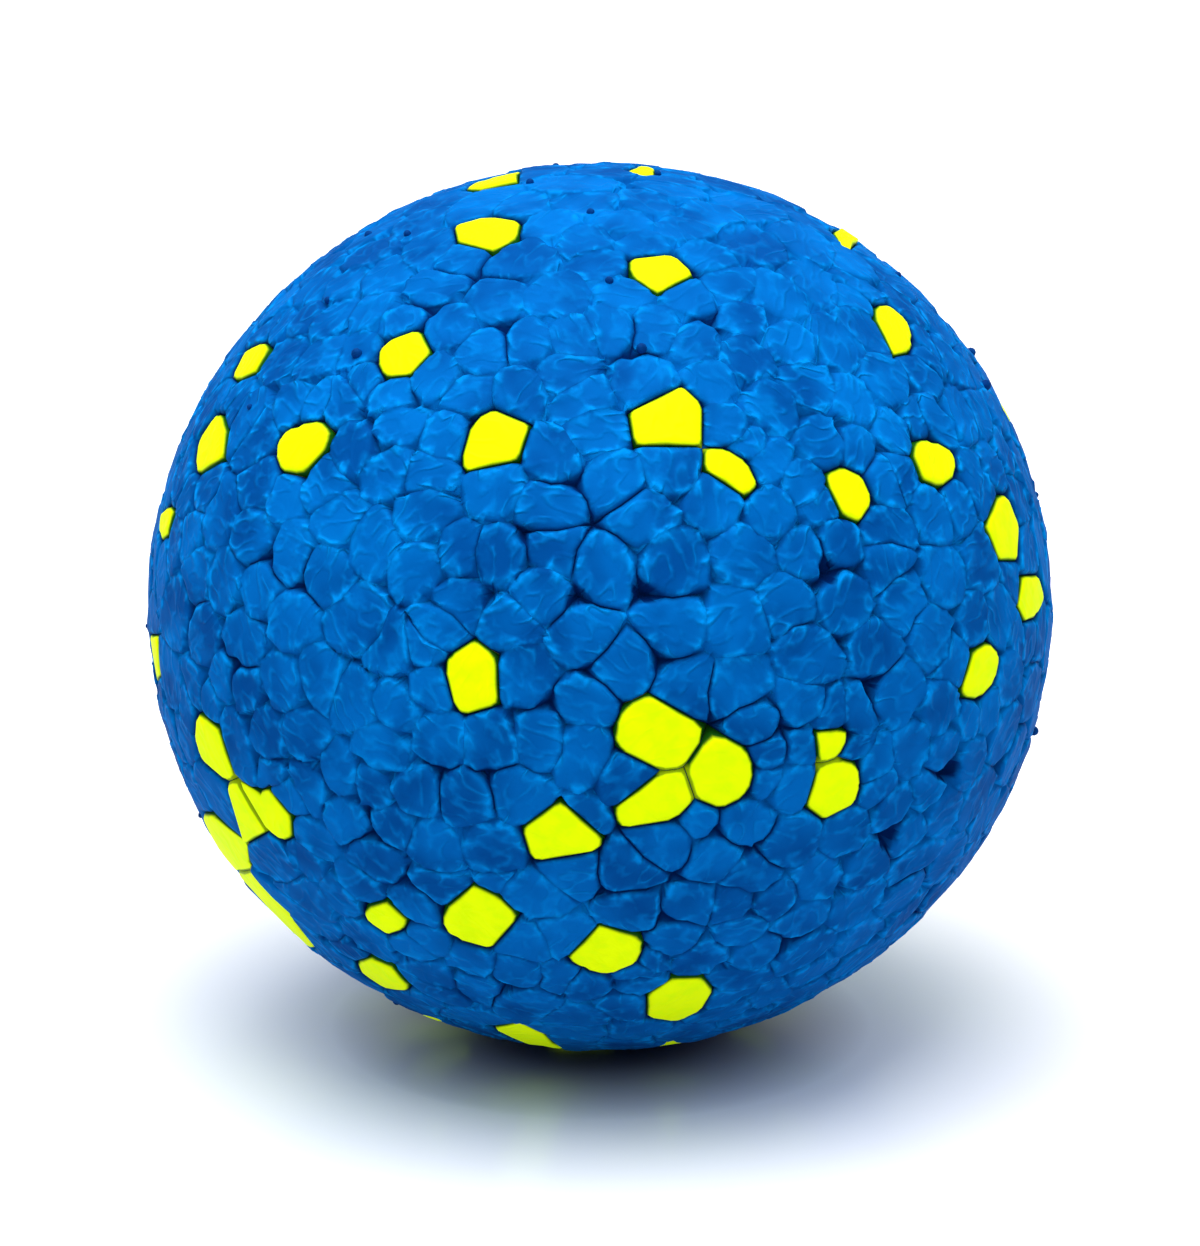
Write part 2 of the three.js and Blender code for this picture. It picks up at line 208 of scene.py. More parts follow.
def round_corners(mesh):
    """Cuts each side in four, bows it, and says how far each point is drawn in and down"""
    yellow = {mesh.faces[index] for index in yellow_beads.values()}
    rounding = mesh.verts.layers.float.new("rounding")
    pull = mesh.verts.layers.float.new("pull")
    groove = mesh.verts.layers.float.new("weld")
    wide_open = mesh.verts.layers.int.new("open")
    chance = random.Random(corner_seed)

    def by_yellow(vert):
        return any(face in yellow for face in vert.link_faces)

    def between_yellow(vert):
        return sum(face in yellow for face in vert.link_faces) > 1

    for vert in mesh.verts:
        large = chance.random() < large_rounding_share
        spread = large_rounding if large else small_rounding
        if by_yellow(vert):
            spread = yellow_rounding
        vert[rounding] = chance.uniform(*spread)
        vert[pull] = vert[rounding] * round_share
    corners = list(mesh.verts)
    for *pixel, millimetres in open_corners:
        corner = corner_at(pixel, corners)
        corner[rounding] = millimetres / 1000
        corner[pull] = corner[rounding] * open_round_share
        corner[wide_open] = 1
    bmesh.ops.bisect_edges(mesh, edges=mesh.edges, cuts=3)
    for vert in mesh.verts:
        height = (vert.co.z - smooth_top[0]) / (smooth_top[1] - smooth_top[0])
        pressed = 1 + (smooth_top_weld - 1) * min(max(height, 0), 1)
        patch = weld_patch_middle + weld_patch_contrast * noise.noise(vert.co / weld_patch)
        patch = min(max(patch, 0), 1)
        pressed *= faint_weld + (1 - faint_weld) * patch
        strength = weld[0] + (weld[1] - weld[0]) * chance.random() ** weld_skew
        vert[groove] = weld[1] if by_yellow(vert) else strength * pressed
        if between_yellow(vert):
            vert[groove] = yellow_to_yellow_weld
    sides = [(vert, other_ends(vert)) for vert in mesh.verts
             if not is_corner(vert) and not any(is_corner(end) for end in other_ends(vert))]
    for middle, near in sides:
        ends = [next(end for end in other_ends(vert) if is_corner(end)) for vert in near]
        middle.co = (ends[0].co + ends[1].co) / 2
        if not by_yellow(middle):
            along = ends[1].co - ends[0].co
            middle.co += chance.uniform(-side_bow, side_bow) * along.cross(middle.co.normalized())
        for vert, end in zip(near, ends):
            share = min(end[rounding] / (middle.co - end.co).length, farthest_cut)
            vert.co = end.co.lerp(middle.co, share)
        for vert in [middle] + near:
            vert[pull] = 0
            for end in ends:
                within = max(1 - (vert.co - end.co).length / end[rounding], 0)
                vert[pull] = max(vert[pull], end[pull] * within ** 2)
                if end[wide_open]:
                    vert[groove] = weld[1]
                    end[groove] = weld[1]
    mesh.faces.ensure_lookup_table()


round_corners(beads)

# The skin of a bead
# Each bead is pressed flat against the mould, with soft round edges that dive into the
# grooves. One tree grows it out of its flat face: rings round the rim, a ring halfway
# in, and a middle point, which are then set at their depth under the ball's surface.
pit_power = 2.0
least_reach = 0.4
rim_inward = 0.5
halfway_inward = 0.75
lump_middle = 0.6


def add_node(tree, kind, inputs=None, **settings):
    made = tree.nodes.new(kind)
    for name, value in settings.items():
        setattr(made, name, value)
    for socket, value in (inputs or {}).items():
        if isinstance(value, bpy.types.NodeSocket):
            tree.links.new(value, made.inputs[socket])
        else:
            made.inputs[socket].default_value = value
    return made


def number(tree, operation, *values):
    return add_node(
        tree, "ShaderNodeMath", dict(enumerate(values)), operation=operation).outputs[0]


def vector(tree, operation, *values):
    made = add_node(tree, "ShaderNodeVectorMath", operation=operation)
    for socket, value in zip([0, 3] if operation == "SCALE" else [0, 1], values):
        if isinstance(value, bpy.types.NodeSocket):
            tree.links.new(value, made.inputs[socket])
        else:
            made.inputs[socket].default_value = value
    gives_number = operation in ("LENGTH", "DOT_PRODUCT")
    return made.outputs["Value" if gives_number else "Vector"]


def attribute(tree, name, data_type="FLOAT"):
    return add_node(tree, "GeometryNodeInputNamedAttribute", {"Name": name},
                    data_type=data_type).outputs[0]


def store(tree, mesh, name, value, selection=True, data_type="FLOAT"):
    inputs = {"Geometry": mesh, "Selection": selection, "Name": name, "Value": value}
    return add_node(tree, "GeometryNodeStoreNamedAttribute", inputs, data_type=data_type,
                    domain="POINT").outputs[0]


def add_ring(tree, mesh, top, spot, rise, inward):
    """Puts one more ring inside each bead's face and returns the mesh and the new faces

    Rise runs from 0 in the groove to 1 on the face. Inward runs from 0 at the groove to
    1 in the bead's middle.
    """
    ring = add_node(tree, "GeometryNodeExtrudeMesh",
                    {"Mesh": mesh, "Selection": top, "Offset Scale": 0.0, "Individual": True},
                    mode="FACES")
    top = ring.outputs["Top"]
    placed = add_node(tree, "GeometryNodeSetPosition", {
        "Geometry": ring.outputs["Mesh"], "Selection": top, "Position": spot}).outputs[0]
    placed = store(tree, placed, "rise", rise, top)
    placed = store(tree, placed, "inward", inward, top)
    return placed, top


def bead_tree():
    tree = bpy.data.node_groups.new("bead_skin", "GeometryNodeTree")
    tree.interface.new_socket("Geometry", in_out="INPUT", socket_type="NodeSocketGeometry")
    sizes = {
        "Ball Radius": ball_radius, "Ball Half Height": ball_half_height, "Groove Depth": 0.00042,
        "Rim Width": 0.0006, "Pit Share": 2.0, "Middle Sink": 0.00007,
        "Lump Height": 0.00009, "Lump Size": 0.0011,
    }
    for name, value in sizes.items():
        socket = tree.interface.new_socket(name, in_out="INPUT", socket_type="NodeSocketFloat")
        socket.default_value = value
    rings = tree.interface.new_socket("Rim Rings", in_out="INPUT", socket_type="NodeSocketInt")
    rings.default_value = 3
    tree.interface.new_socket("Material", in_out="INPUT", socket_type="NodeSocketMaterial")
    tree.interface.new_socket("Geometry", in_out="OUTPUT", socket_type="NodeSocketGeometry")
    given = tree.nodes.new("NodeGroupInput").outputs
    position = tree.nodes.new("GeometryNodeInputPosition").outputs[0]
    middle = attribute(tree, "middle", "FLOAT_VECTOR")
    pull = attribute(tree, "pull")

    # Rings round the rim, along a quarter of an ellipse from the groove to the face
    mesh = store(tree, given["Geometry"], "border", position, data_type="FLOAT_VECTOR")
    zone_in = tree.nodes.new("GeometryNodeRepeatInput")
    zone_out = tree.nodes.new("GeometryNodeRepeatOutput")
    zone_in.pair_with_output(zone_out)
    zone_out.repeat_items.new("BOOLEAN", "Top")
    tree.links.new(given["Rim Rings"], zone_in.inputs["Iterations"])
    tree.links.new(mesh, zone_in.inputs["Geometry"])
    tree.links.new(attribute(tree, "top", "BOOLEAN"), zone_in.inputs["Top"])
    ring = number(tree, "ADD", zone_in.outputs["Iteration"], 1.0)
    share = number(tree, "DIVIDE", ring, given["Rim Rings"])
    turn = number(tree, "MULTIPLY", share, math.pi / 2)
    inset = number(tree, "MULTIPLY", given["Rim Width"],
                   number(tree, "SUBTRACT", 1.0, number(tree, "COSINE", turn)))
    out = vector(tree, "SUBTRACT", attribute(tree, "border", "FLOAT_VECTOR"), middle)
    reach = vector(tree, "LENGTH", out)
    pulled = number(tree, "SUBTRACT", number(tree, "SUBTRACT", reach, inset), pull)
    kept = number(tree, "MAXIMUM", pulled, number(tree, "MULTIPLY", reach, least_reach))
    spot = vector(tree, "ADD", middle, vector(tree, "SCALE", vector(tree, "NORMALIZE", out), kept))
    mesh, top = add_ring(tree, zone_in.outputs["Geometry"], zone_in.outputs["Top"], spot,
                         number(tree, "SINE", turn), number(tree, "MULTIPLY", share, rim_inward))
    tree.links.new(mesh, zone_out.inputs["Geometry"])
    tree.links.new(top, zone_out.inputs["Top"])
    mesh, top = zone_out.outputs["Geometry"], zone_out.outputs["Top"]

    # A ring halfway in, then the middle
    halfway = vector(tree, "SCALE", vector(tree, "ADD", middle, position), 0.5)
    mesh, top = add_ring(tree, mesh, top, halfway, 1.0, halfway_inward)
    mesh, top = add_ring(tree, mesh, top, middle, 1.0, 1.0)
    mesh = add_node(tree, "GeometryNodeMergeByDistance",
                    {"Geometry": mesh, "Selection": top, "Distance": same_place}).outputs[0]

    # Depth under the ball's surface: grooves, pits at corners, the sunk middle and lumps
    rise, inward = attribute(tree, "rise"), attribute(tree, "inward")
    below = number(tree, "SUBTRACT", 1.0, rise)
    groove = number(tree, "MULTIPLY", number(tree, "MULTIPLY", given["Groove Depth"],
                                             attribute(tree, "weld")), below)
    pit = number(tree, "MULTIPLY", number(tree, "MULTIPLY", pull, given["Pit Share"]),
                 number(tree, "POWER", below, pit_power))
    lean = vector(tree, "DOT_PRODUCT", vector(tree, "SUBTRACT", position, middle),
                  attribute(tree, "lean", "FLOAT_VECTOR"))
    scaled = vector(tree, "SCALE", position, number(tree, "DIVIDE", 1.0, given["Lump Size"]))
    shifted = vector(tree, "ADD", scaled, attribute(tree, "shift", "FLOAT_VECTOR"))
    bumps = add_node(tree, "ShaderNodeTexNoise", {"Vector": shifted, "Scale": 1.0, "Detail": 1.0})
    lump = number(tree, "MULTIPLY", number(tree, "SUBTRACT", lump_middle, bumps.outputs[0]),
                  number(tree, "MULTIPLY", 2.0, given["Lump Height"]))
    dish = number(tree, "MULTIPLY", given["Middle Sink"], inward)
    face = number(tree, "ADD", number(tree, "ADD", attribute(tree, "sunk"), lean),
                  number(tree, "ADD", lump, dish))
    depth = number(tree, "ADD", number(tree, "ADD", groove, pit),
                   number(tree, "MULTIPLY", rise, face))
    axes = add_node(tree, "ShaderNodeCombineXYZ", {
        0: given["Ball Radius"], 1: given["Ball Radius"], 2: given["Ball Half Height"]}).outputs[0]
    over = vector(tree, "LENGTH", vector(tree, "DIVIDE", position, axes))
    on_ball = vector(tree, "SCALE", position, number(tree, "DIVIDE", 1.0, over))
    inwards = vector(tree, "SCALE", vector(tree, "NORMALIZE", position), depth)
    mesh = add_node(tree, "GeometryNodeSetPosition", {
        "Geometry": mesh, "Selection": attribute(tree, "skin", "BOOLEAN"),
        "Position": vector(tree, "SUBTRACT", on_ball, inwards)}).outputs[0]
    mesh = add_node(tree, "GeometryNodeSetShadeSmooth", {"Geometry": mesh}).outputs[0]
    mesh = add_node(tree, "GeometryNodeRealizeInstances", {"Geometry": mesh}).outputs[0]
    mesh = add_node(tree, "GeometryNodeSetMaterial",
                    {"Geometry": mesh, "Material": given["Material"]}).outputs[0]
    tree.links.new(mesh, tree.nodes.new("NodeGroupOutput").inputs[0])
    return tree


skin_tree = bead_tree()


def grow(name, cage, tree, material):
    """Runs a tree on a mesh and returns the result as a plain object"""
    cage_mesh = bpy.data.meshes.new(name)
    cage.to_mesh(cage_mesh)
    cage.free()
    grower = bpy.data.objects.new(f"{name}_cage", cage_mesh)
    bpy.context.scene.collection.objects.link(grower)
    modifier = grower.modifiers.new(tree.name, "NODES")
    modifier.node_group = tree
    for item in tree.interface.items_tree:
        if item.name == "Material":
            modifier[item.identifier] = material
    graph = bpy.context.evaluated_depsgraph_get()
    mesh = bpy.data.meshes.new_from_object(grower.evaluated_get(graph))
    mesh.name = name
    bpy.data.objects.remove(grower)
    piece = bpy.data.objects.new(name, mesh)
    bpy.context.scene.collection.objects.link(piece)
    return piece


# The blue body
# Hundreds of deep blue beads, welded into one solid by steam. A yellow bead leaves a
# tapered socket in it. The pressed skin of each bead is finely wrinkled, each its own
# way. The grooves and pits between beads carry painted shade, and the rims and wrinkle
# ridges carry painted highlights in a lighter blue.
socket_depth = 0.0030
socket_taper = 0.7
bead_sink = 0.00012
bead_lean = 0.06
farthest_shift = 100
blue_seed = 5
wrinkle_size = 0.0010
wrinkle_length = 1.8
wrinkle_reach = 0.15
wrinkle_height = 0.00013
smooth_top_wrinkles = 0.55
faint_wrinkles = 0.25
middle_wrinkles = 0.4
# Painted highlight: how much the rims and the wrinkle ridges are lightened
rim_painted_highlight = 0.5
streak_painted_highlight = 0.85
blotch_size = 0.0013
blotch_range = (0.42, 0.6, 0.05, 1.0)
cloud_size = 0.005
cloud_range = (0.35, 0.65, -0.25, 0.75)
bead_tone = 0.5
rim_range = (0.75, 0.3)
# Painted shade: where the grooves and the open pits are coloured dark
groove_shade_rise = (0.95, 0.1)
pit_shade_pull = (0.0003, 0.00045)
pit_shade_rise = (1.0, 0.4)
foam_roughness = 0.6
blue_sheen = 0.01
# Darkest blue: the painted shade of the grooves and pits, and also the darker blue of the nibs
groove_shade_and_nib_blue = (0.0, 0.018, 0.12, 1)
blue_dark = (0.0, 0.075, 0.33, 1)
blue_face = (0.0, 0.155, 0.57, 1)
# Lighter blue of the painted highlights
blue_painted_highlight = (0.0, 0.285, 0.87, 1)


def describe_bead(mesh, face, middle, chance):
    """Writes on a bead's face where its middle is and how it differs from the others"""
    layers = mesh.faces.layers
    face[layers.bool["top"]] = True
    face[layers.float_vector["middle"]] = middle
    lean = Vector(chance.uniform(-bead_lean, bead_lean) for _ in range(3))
    face[layers.float_vector["lean"]] = lean
    shift = Vector(chance.uniform(0, farthest_shift) for _ in range(3))
    face[layers.float_vector["shift"]] = shift
    across = middle.cross(Vector(chance.uniform(-1, 1) for _ in range(3)))
    face[layers.float_vector["grain"]] = across.normalized()
    face[layers.float["sunk"]] = chance.uniform(0, bead_sink)
    face[layers.float["tone"]] = chance.random()


def add_bead_layers(mesh):
    layers = mesh.faces.layers
    layers.bool.new("top")
    for name in ("middle", "lean", "shift", "grain"):
        layers.float_vector.new(name)
    for name in ("sunk", "tone"):
        layers.float.new(name)
    mesh.verts.layers.bool.new("skin")


def sink_points(mesh, rim, middle, depth, taper):
    """Points of a bead's rim again, smaller and deeper in the ball"""
    floor_middle = middle.normalized() * (middle.length - depth)
    return [mesh.verts.new(floor_middle + taper * (vert.co - middle)) for vert in rim]


def blue_cage():
    mesh = beads.copy()
    add_bead_layers(mesh)
    mesh.faces.ensure_lookup_table()
    for vert in mesh.verts:
        vert[mesh.verts.layers.bool["skin"]] = True
    chance = random.Random(blue_seed)
    sockets = [mesh.faces[index] for index in yellow_beads.values()]
    for index, face in enumerate(mesh.faces):
        describe_bead(mesh, face, bead_middles[index], chance)
    for index, face in zip(yellow_beads.values(), sockets):
        rim = list(face.verts)
        floor = sink_points(mesh, rim, bead_middles[index], socket_depth, socket_taper)
        mesh.faces.remove(face)
        for place in range(len(rim)):
            following = (place + 1) % len(rim)
            mesh.faces.new([rim[place], rim[following], floor[following], floor[place]])
        mesh.faces.new(floor)
    return mesh


def new_material(name):
    """A material, its tree and the inputs of its shader"""
    material = bpy.data.materials.new(name)
    material.use_nodes = True
    return material, material.node_tree, material.node_tree.nodes["Principled BSDF"].inputs


def painted(tree, name):
    """What the mesh carries under a name, such as a bead's tone"""
    return add_node(tree, "ShaderNodeAttribute", attribute_name=name).outputs


def mixed(tree, share, one, other):
    mix = add_node(tree, "ShaderNodeMix", {"Factor": share, 6: one, 7: other}, data_type="RGBA")
    return mix.outputs[2]


def ranged(tree, value, low, high, bottom=0.0, top=1.0, kind="LINEAR"):
    """Goes from bottom to top while the value goes from low to high, and stays level beyond"""
    return add_node(tree, "ShaderNodeMapRange", {0: value, 1: low, 2: high, 3: bottom, 4: top},
                    interpolation_type=kind).outputs[0]


def wrinkles(tree):
    """Fine ridges that run along each bead's own grain, from 0 in a crease to 1 on a ridge"""
    place = add_node(tree, "ShaderNodeTexCoord").outputs["Object"]
    grain = painted(tree, "grain")["Vector"]
    along = number(tree, "MULTIPLY", vector(tree, "DOT_PRODUCT", place, grain),
                   1 - 1 / wrinkle_length)
    squeezed = vector(tree, "SUBTRACT", place, vector(tree, "SCALE", grain, along))
    spot = vector(tree, "ADD", vector(tree, "SCALE", squeezed, 1 / wrinkle_size),
                  painted(tree, "shift")["Vector"])
    waves = add_node(tree, "ShaderNodeTexNoise", {
        "Vector": spot, "Scale": 1.0, "Detail": 0.3, "Roughness": 0.5, "Distortion": 0.3,
    }).outputs[0]
    from_middle = number(tree, "ABSOLUTE", number(tree, "SUBTRACT", waves, 0.5))
    return ranged(tree, from_middle, 0.0, wrinkle_reach, 1.0, 0.0, kind="SMOOTHSTEP")


def blotches(tree, size, shift=None):
    """Soft patches of a size, moved for each bead where a shift is given"""
    place = add_node(tree, "ShaderNodeTexCoord").outputs["Object"]
    spot = vector(tree, "ADD", vector(tree, "SCALE", place, 1 / size), shift or (0, 0, 0))
    return add_node(tree, "ShaderNodeTexNoise", {
        "Vector": spot, "Scale": 1.0, "Detail": 2.0, "Roughness": 0.5}).outputs[0]


def blue_material():
    material, tree, surface = new_material("blue_foam")
    rise, inward = painted(tree, "rise")["Fac"], painted(tree, "inward")["Fac"]
    ridges = wrinkles(tree)
    patches = ranged(tree, blotches(tree, blotch_size, painted(tree, "shift")["Vector"]),
                     *blotch_range)
    rim = ranged(tree, inward, *rim_range)
    place = add_node(tree, "ShaderNodeTexCoord").outputs["Object"]
    height_up = add_node(tree, "ShaderNodeSeparateXYZ", {0: place}).outputs["Z"]
    calm = ranged(tree, height_up, *smooth_top, 1.0, smooth_top_wrinkles)
    strength = number(tree, "MULTIPLY", number(tree, "MULTIPLY", patches, calm),
                      number(tree, "MAXIMUM", rim, middle_wrinkles))
    clouds = ranged(tree, blotches(tree, cloud_size), *cloud_range)
    own_tone = number(tree, "MULTIPLY", painted(tree, "tone")["Fac"], bead_tone)
    bead = mixed(tree, number(tree, "ADD", own_tone, clouds), blue_dark, blue_face)
    # Painted highlight: the rims and the wrinkle ridges are coloured a lighter blue, as if
    # catching the light
    light = number(tree, "ADD", ridges, number(tree, "MULTIPLY", rim, rim_painted_highlight))
    painted_streaks = number(tree, "MULTIPLY", number(tree, "MULTIPLY", light, strength), streak_painted_highlight)
    face = mixed(tree, painted_streaks, bead, blue_painted_highlight)
    # Painted shade: the grooves, as strongly as they are welded, and the open pits are coloured
    # dark blue
    groove = number(tree, "MULTIPLY", ranged(tree, rise, *groove_shade_rise, kind="SMOOTHSTEP"),
                    painted(tree, "weld")["Fac"])
    pit = number(tree, "MULTIPLY", ranged(tree, painted(tree, "pull")["Fac"], *pit_shade_pull),
                 ranged(tree, rise, *pit_shade_rise, kind="SMOOTHSTEP"))
    colour = mixed(tree, number(tree, "MAXIMUM", groove, pit), face, groove_shade_and_nib_blue)
    height = number(tree, "MULTIPLY", ridges, number(tree, "ADD", strength, faint_wrinkles))
    bump = add_node(tree, "ShaderNodeBump", {
        "Strength": 1.0, "Distance": wrinkle_height, "Height": height})
    tree.links.new(colour, surface["Base Color"])
    tree.links.new(bump.outputs[0], surface["Normal"])
    surface["Roughness"].default_value = foam_roughness
    surface["Specular IOR Level"].default_value = blue_sheen
    return material


blue_body = grow("blue_foam_body", blue_cage(), skin_tree, blue_material())
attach(blue_body, "root")
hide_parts("blue_bead_body")

# The yellow beads
# Each neon yellow bead is a plug of its own, as deep as its neighbours, and shows the
# same pressed face and round rim as the blue ones. Its edges carry a dark green painted
# shade, and its face carries a painted glow that makes the neon brighter.
plug_gap = 0.00003
plug_depth = 0.0028
yellow_face = (0.87, 1.0, 0.0, 1)
yellow_shade = (0.74, 0.92, 0.0, 1)
# Dark green painted shade at the yellow beads' edges
yellow_painted_edge_shade = (0.01, 0.11, 0.005, 1)
# Colour and strength of the painted glow on the yellow beads
yellow_painted_glow_colour = (0.6, 1.0, 0.0, 1)
yellow_painted_glow = 0.3
yellow_blotch_range = (0.35, 0.65)
# Where the painted edge shade fades out, and how much of it is lifted between two welded yellow
# beads
yellow_edge_shade_rise = (0.42, 0.88)
welded_edge_light = 0.3
yellow_wrinkles = 0.25
yellow_roughness = 0.55
foam_sheen = 0.03
yellow_seed = 8


def yellow_material():
    material, tree, surface = new_material("yellow_foam")
    ridges = wrinkles(tree)
    patches = blotches(tree, blotch_size, painted(tree, "shift")["Vector"])
    face = mixed(tree, ranged(tree, patches, *yellow_blotch_range), yellow_shade, yellow_face)
    # Painted shade: the edges go dark green, less so where two yellow beads are welded
    raised = ranged(tree, painted(tree, "rise")["Fac"], *yellow_edge_shade_rise, kind="SMOOTHSTEP")
    welded = ranged(tree, painted(tree, "weld")["Fac"], yellow_to_yellow_weld, weld[1],
                    welded_edge_light, 0.0)
    clear_of_edge_shade = number(tree, "MAXIMUM", raised, welded)
    bump = add_node(tree, "ShaderNodeBump", {
        "Strength": yellow_wrinkles, "Distance": wrinkle_height, "Height": ridges})
    tree.links.new(mixed(tree, clear_of_edge_shade, yellow_painted_edge_shade, face), surface["Base Color"])
    tree.links.new(bump.outputs[0], surface["Normal"])
    surface["Roughness"].default_value = yellow_roughness
    surface["Specular IOR Level"].default_value = foam_sheen
    # Painted glow: the yellow face glows though it is no lamp, but not at its shaded edges
    tree.links.new(mixed(tree, clear_of_edge_shade, (0, 0, 0, 1), yellow_painted_glow_colour), surface["Emission Color"])
    surface["Emission Strength"].default_value = yellow_painted_glow
    return material


def plug_cage(face, middle, chance):
    """A closed plug under a bead's face, a hair narrower than its socket"""
    mesh = bmesh.new()
    add_bead_layers(mesh)
    copied = ("pull", "weld")
    for layer in copied:
        mesh.verts.layers.float.new(layer)
    rim = []
    for corner in face.verts:
        vert = mesh.verts.new(corner.co + (middle - corner.co).normalized() * plug_gap)
        for layer in copied:
            vert[mesh.verts.layers.float[layer]] = corner[beads.verts.layers.float[layer]]
        vert[mesh.verts.layers.bool["skin"]] = True
        rim.append(vert)
    floor = sink_points(mesh, rim, middle, plug_depth, socket_taper)
    describe_bead(mesh, mesh.faces.new(rim), middle, chance)
    for place in range(len(rim)):
        following = (place + 1) % len(rim)
        mesh.faces.new([rim[following], rim[place], floor[place], floor[following]])
    mesh.faces.new(reversed(floor))
    return mesh


yellow_foam = yellow_material()
bead_chance = random.Random(yellow_seed)
for name, index in yellow_beads.items():
    cage = plug_cage(beads.faces[index], bead_middles[index], bead_chance)
    bead = grow(name.replace("bead", "foam_bead"), cage, skin_tree, yellow_foam)
    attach(bead, "root")
    if name in yellow_bead_of_node:
        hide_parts(name)

# The vent nibs
# The mould lets its steam out through small vents, and a little foam is pressed into
# each. It stays on the bead there as a nib, a fraction of a millimetre high.
nib_radius = 0.00033
nib_stretch = 1.1
nib_sink = 0.00014
unseen_nibs = 22
front_limit = 0.1
nib_place_seed = 3
nib_size_seed = 9
nib_spacing = 0.011
nib_sizes = (0.7, 1.25)
seen_nibs = [
    (365, 228), (660, 163), (990, 383), (1042, 733), (198, 817), (146, 626), (903, 270),
    (975, 350), (529, 172), (404, 226), (591, 203), (610, 274), (324, 295), (354, 350),
    (247, 405), (643, 344),
]


def on_skin(point):
    return point * (1 + depth_under_skin(point) / point.length)


def nib_places():
    """Where the photograph shows nibs, and more places spread over the rest of the ball"""
    places = [on_skin(seen_at(pixel)) for pixel in seen_nibs]
    chance = random.Random(nib_place_seed)
    while len(places) < len(seen_nibs) + unseen_nibs:
        aim = Vector(chance.gauss(0, 1) for _ in range(3)).normalized()
        place = on_skin(aim * ball_radius)
        clear = all((place - other).length > nib_spacing for other in places)
        if aim.dot(front) < front_limit and clear:
            places.append(place)
    return places


def nib_tree():
    tree = bpy.data.node_groups.new("vent_nibs", "GeometryNodeTree")
    tree.interface.new_socket("Geometry", in_out="INPUT", socket_type="NodeSocketGeometry")
    sizes = {"Nib Radius": nib_radius, "Nib Stretch": nib_stretch, "Sink": nib_sink}
    for name, value in sizes.items():
        socket = tree.interface.new_socket(name, in_out="INPUT", socket_type="NodeSocketFloat")
        socket.default_value = value
    seed = tree.interface.new_socket("Seed", in_out="INPUT", socket_type="NodeSocketInt")
    seed.default_value = nib_size_seed
    tree.interface.new_socket("Material", in_out="INPUT", socket_type="NodeSocketMaterial")
    tree.interface.new_socket("Geometry", in_out="OUTPUT", socket_type="NodeSocketGeometry")
    given = tree.nodes.new("NodeGroupInput").outputs
    outward = vector(tree, "NORMALIZE", tree.nodes.new("GeometryNodeInputPosition").outputs[0])
    sunk = add_node(tree, "GeometryNodeSetPosition", {
        "Geometry": given["Geometry"],
        "Offset": vector(tree, "SCALE", outward, number(tree, "MULTIPLY", given["Sink"], -1.0)),
    }).outputs[0]
    turned = add_node(tree, "FunctionNodeAlignRotationToVector", {"Vector": outward},
                      axis="Z").outputs[0]
    across = add_node(tree, "FunctionNodeRandomValue", {
        2: nib_sizes[0], 3: nib_sizes[1], "Seed": given["Seed"]}).outputs[1]
    tall = number(tree, "MULTIPLY", across, given["Nib Stretch"])
    scale = add_node(tree, "ShaderNodeCombineXYZ", {0: across, 1: across, 2: tall}).outputs[0]
    ball = add_node(tree, "GeometryNodeMeshIcoSphere",
                    {"Radius": given["Nib Radius"], "Subdivisions": 2}).outputs[0]
    ball = add_node(tree, "GeometryNodeSetShadeSmooth", {"Geometry": ball}).outputs[0]
    placed = add_node(tree, "GeometryNodeInstanceOnPoints", {
        "Points": sunk, "Instance": ball, "Rotation": turned, "Scale": scale}).outputs[0]
    mesh = add_node(tree, "GeometryNodeRealizeInstances", {"Geometry": placed}).outputs[0]
    mesh = add_node(tree, "GeometryNodeSetMaterial",
                    {"Geometry": mesh, "Material": given["Material"]}).outputs[0]
    tree.links.new(mesh, tree.nodes.new("NodeGroupOutput").inputs[0])
    return tree


def nib_material():
    material, tree, surface = new_material("nib_foam")
    face = mixed(tree, blotches(tree, nib_radius), groove_shade_and_nib_blue, blue_dark)
    tree.links.new(face, surface["Base Color"])
    surface["Roughness"].default_value = foam_roughness
    surface["Specular IOR Level"].default_value = foam_sheen
    return material


nib_points = bmesh.new()
for place in nib_places():
    nib_points.verts.new(place)
nibs = grow("vent_nibs", nib_points, nib_tree(), nib_material())
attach(nibs, "root")

# The floor, the light and the camera
# The ball lies on a plain white floor in soft light from all round. A painted glow on
# the floor whitens it away from the ball and softens the edge of the shadow. Near the
# ball the floor carries a painted blue bounce and a blue painted glow, and right under it
# a painted dark contact shadow.
floor_size = 3.0
floor_roughness = 0.25
floor_sheen = 0.3
floor_seen = (0.93, 0.94, 0.98, 1)
# Painted blue bounce near the ball: a bluer floor colour and a blue painted glow
floor_painted_blue_bounce = (0.82, 0.92, 1.0, 1)
floor_bounce = (0.62, 0.63, 0.68, 1)
# Painted dark contact shadow under the ball
floor_painted_contact_shadow = (0.05, 0.06, 0.1, 1)
painted_blue_glow_by_ball = (0.45, 0.65, 1.0, 1)
# Painted glow that lightens the shadow near the ball and whitens the floor away from it
near_painted_glow = (0.033, 0.042, 0.0, 0.14)
far_painted_glow = (0.042, 0.1, 0.0, 0.4)
painted_bounce_range = (0.05, 0.035)
contact_shadow_range = (0.0375, 0.0325)
sky_range = (0.0, 0.6, 0.25, 0.74)
lamp_size = 0.7
lamp_power = 6.7
lamp_place = (-0.05, -0.08, 0.75)
lens = 160.6
film_width = 36
nearest_seen = 0.01
aim_below_centre = 0.00122


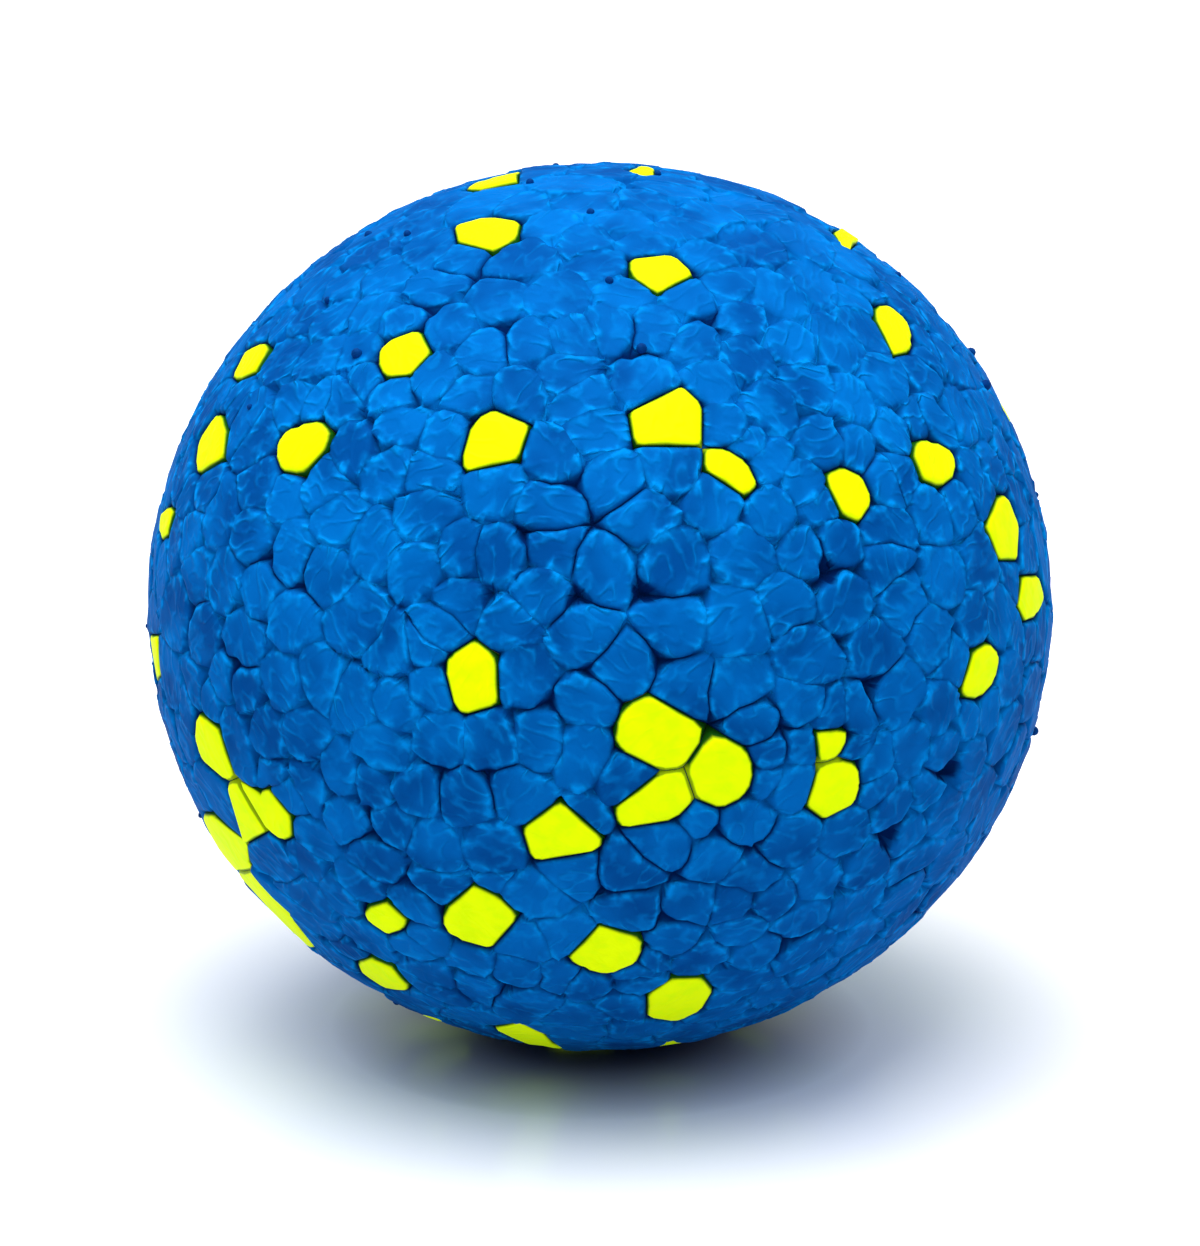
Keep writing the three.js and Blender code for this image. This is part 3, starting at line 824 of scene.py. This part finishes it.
def floor_material():
    material, tree, surface = new_material("white_floor")
    surface["Roughness"].default_value = floor_roughness
    surface["Specular IOR Level"].default_value = floor_sheen
    light_path = add_node(tree, "ShaderNodeLightPath").outputs
    mirrored = number(
        tree, "MAXIMUM", light_path["Is Glossy Ray"], light_path["Is Transmission Ray"])
    seen = number(tree, "MAXIMUM", light_path["Is Camera Ray"], mirrored)
    place = add_node(tree, "ShaderNodeTexCoord").outputs["Object"]
    from_ball = vector(tree, "LENGTH", place)
    # Painted glow by distance from the ball: a little near it and more further out, so the floor
    # turns white
    painted_glow = number(tree, "ADD", ranged(tree, from_ball, *near_painted_glow),
                  ranged(tree, from_ball, *far_painted_glow))
    # Painted blue bounce near the ball, in both the floor colour and the glow colour
    painted_bounce_mask = ranged(tree, from_ball, *painted_bounce_range)
    # Painted dark contact shadow right under the ball
    painted_contact_shadow = ranged(tree, from_ball, *contact_shadow_range)
    white = mixed(tree, painted_bounce_mask, floor_seen, floor_painted_blue_bounce)
    colour = mixed(tree, seen, floor_bounce, mixed(tree, painted_contact_shadow, white, floor_painted_contact_shadow))
    tree.links.new(colour, surface["Base Color"])
    painted_glow_colour = mixed(tree, painted_bounce_mask, (1, 1, 1, 1), painted_blue_glow_by_ball)
    tree.links.new(painted_glow_colour, surface["Emission Color"])
    tree.links.new(number(tree, "MULTIPLY", seen, painted_glow), surface["Emission Strength"])
    return material


floor_mesh = bpy.data.meshes.new("floor")
half = floor_size / 2
floor_corners = ((-half, -half), (half, -half), (half, half), (-half, half))
floor_mesh.from_pydata([(x, y, cad_low.z) for x, y in floor_corners], [], [(0, 1, 2, 3)])
floor = bpy.data.objects.new("floor", floor_mesh)
bpy.context.scene.collection.objects.link(floor)
floor_mesh.materials.append(floor_material())

world = bpy.data.worlds.new("studio")
bpy.context.scene.world = world
world.use_nodes = True
sky = world.node_tree
direction = add_node(sky, "ShaderNodeTexCoord").outputs["Generated"]
height = add_node(sky, "ShaderNodeSeparateXYZ", {0: direction}).outputs["Z"]
background = sky.nodes["Background"].inputs
sky.links.new(ranged(sky, height, *sky_range), background["Strength"])
background["Color"].default_value = (1, 1, 1, 1)

lamp = bpy.data.lights.new("overhead", "AREA")
lamp.size = lamp_size
lamp.energy = lamp_power
lamp_object = bpy.data.objects.new("overhead", lamp)
lamp_object.location = lamp_place
lamp_object.rotation_euler = (-lamp_object.location).to_track_quat("-Z", "Y").to_euler()
bpy.context.scene.collection.objects.link(lamp_object)

camera_data = bpy.data.cameras.new("camera")
camera_data.lens = lens
camera_data.sensor_width = film_width
camera_data.clip_start = nearest_seen
camera = bpy.data.objects.new("camera", camera_data)
camera.location = front * view_distance
camera.rotation_euler = (
    -upward * aim_below_centre - camera.location).to_track_quat("-Z", "Y").to_euler()
bpy.context.scene.collection.objects.link(camera)
bpy.context.scene.camera = camera
bpy.context.scene.view_settings.view_transform = "Standard"
